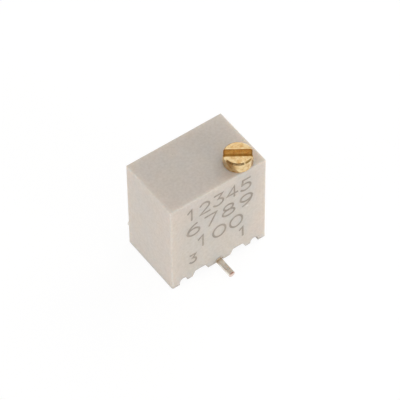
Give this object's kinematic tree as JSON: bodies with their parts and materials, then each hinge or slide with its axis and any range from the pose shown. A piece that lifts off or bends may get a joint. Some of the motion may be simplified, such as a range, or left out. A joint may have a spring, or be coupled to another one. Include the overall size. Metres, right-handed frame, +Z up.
{
  "type": "trimmer potentiometer",
  "caption": "Small surface-mount multi-turn trimmer potentiometer: a box with a slotted brass adjusting screw on top and three round wire leads at its foot.",
  "frame": {"origin": "on the board's surface, under the middle of the housing", "axes": "+Z up from the board to the screw's head, -Y to the front face that lead 2 leaves under, +X to the side that the screw is near"},
  "size_m": [0.0066, 0.0066, 0.0078],
  "materials": {
    "housing_plastic": "fine matt moulded thermoplastic, warm light grey",
    "screw_brass": "turned, bright, fine tool marks",
    "seal_rubber": "matt silicone rubber",
    "clip_steel": "stamped stainless steel",
    "wheel_plastic": "natural moulded thermoplastic",
    "wiper_alloy": "stamped spring alloy",
    "substrate_ceramic": "fired white alumina",
    "track_cermet": "fired cermet film",
    "film_silver": "fired silver film",
    "lead_tinned": "tin-plated copper wire, satin",
    "solder": "satin solder",
    "resin": "cast epoxy resin"
  },
  "bodies": {
    "base": {"housing": "housing_plastic", "screw_retaining_clip": "clip_steel", "element_substrate": "substrate_ceramic", "resistive_track": "track_cermet", "collector_ring": "film_silver", "terminal_pad_1": "film_silver", "terminal_pad_3": "film_silver", "lead_1": "lead_tinned", "lead_2": "lead_tinned", "lead_3": "lead_tinned", "solder_joint_1": "solder", "solder_joint_2": "solder", "solder_joint_3": "solder", "potting_resin": "resin"},
    "screw": {"adjusting_screw": "screw_brass", "screw_o_ring": "seal_rubber"},
    "wheel": {"worm_wheel": "wheel_plastic", "wiper_spring": "wiper_alloy"}
  },
  "joints": [
    {"name": "screw_turn", "type": "hinge", "parent": "base", "child": "screw", "pos_m": [0.00198, -0.00133, 0.0045], "axis": [0, 0, 1], "range_deg": [-2295, 2295]},
    {"name": "wheel_turn", "type": "hinge", "parent": "base", "child": "wheel", "pos_m": [-0.00044, 0, 0.0039], "axis": [0, 1, 0], "range_deg": [-127.5, 127.5]}
  ],
  "couplings": [
    {"joint": "wheel_turn", "follows": "screw_turn", "ratio": 0.055556}
  ]
}
